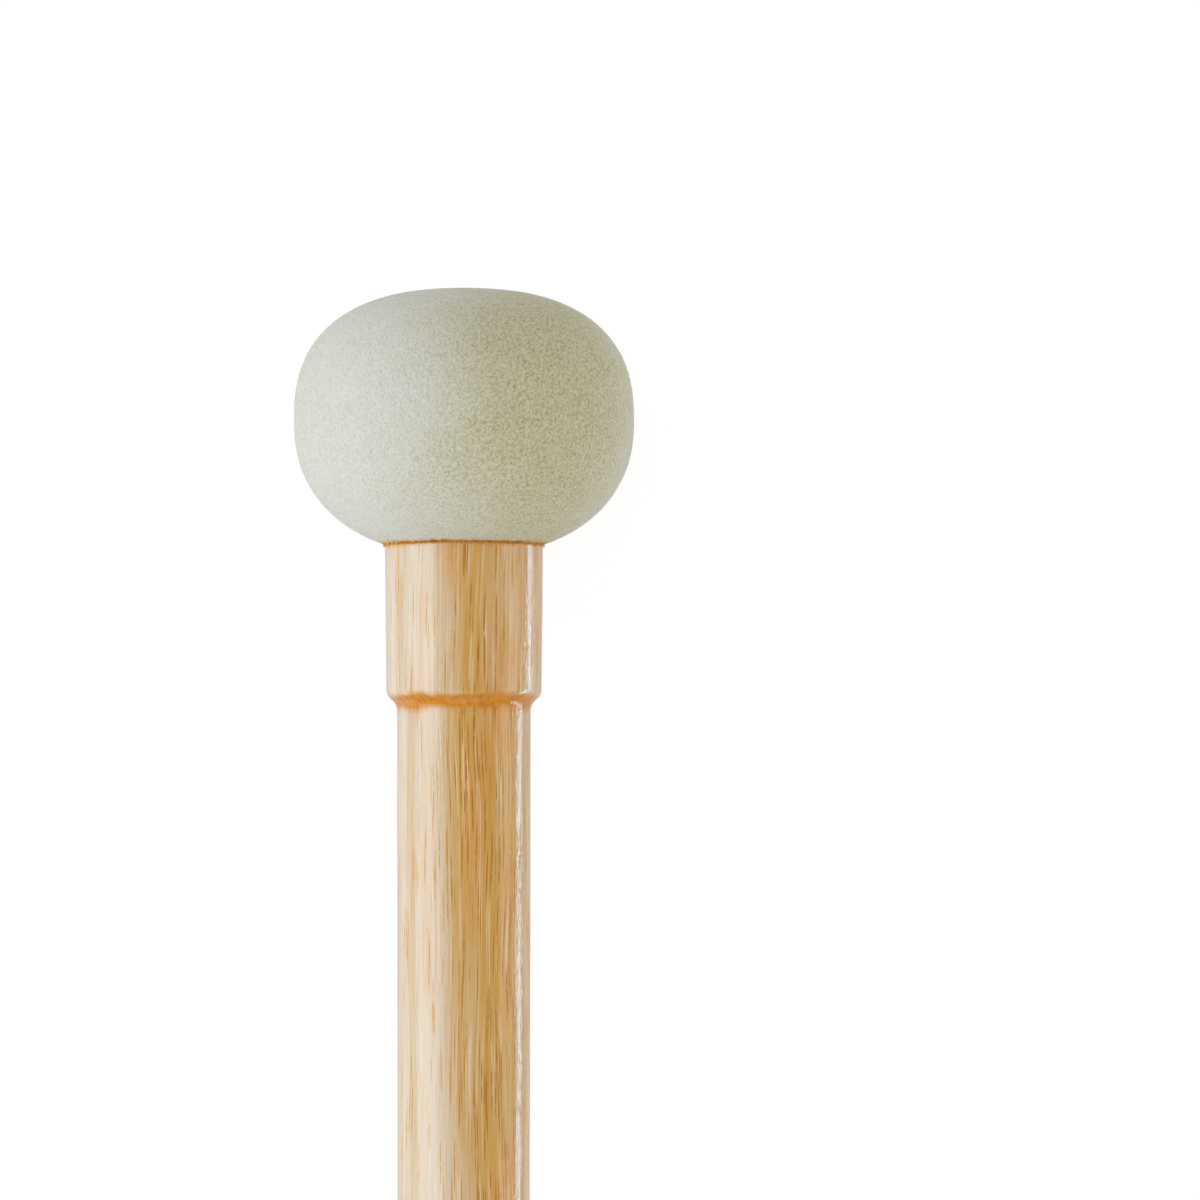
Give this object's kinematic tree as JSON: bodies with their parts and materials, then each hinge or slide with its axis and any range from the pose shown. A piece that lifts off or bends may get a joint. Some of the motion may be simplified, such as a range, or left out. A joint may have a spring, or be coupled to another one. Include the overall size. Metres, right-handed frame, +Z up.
{
  "type": "bass drum mallet",
  "caption": "Drum mallet with a hard felt head, turned as a flattened ball, glued on the tenon of a turned wooden handle with a palm swell, a shouldered collar and a domed butt.",
  "frame": {"origin": "on the table, under the middle of the mallet's length as it lies at rest on the belly of its head and the edge of its butt", "axes": "+X lengthwise towards the head, +Y across, +Z up; the mallet's own axis lies in the XZ plane and rises 2.32 degrees towards the head"},
  "size_m": [0.3748, 0.0486, 0.0486],
  "materials": {
    "lacquered_hickory": "clear gloss lacquer over turned hickory, with straight grain and fine open pores",
    "wool_felt": "hard pressed wool felt, turned and brushed, undyed off-white",
    "cured_glue": "cured wood glue, clear amber"
  },
  "bodies": {
    "root": {"handle": "lacquered_hickory", "felt_head": "wool_felt", "tenon_glue": "cured_glue"}
  },
  "joints": []
}
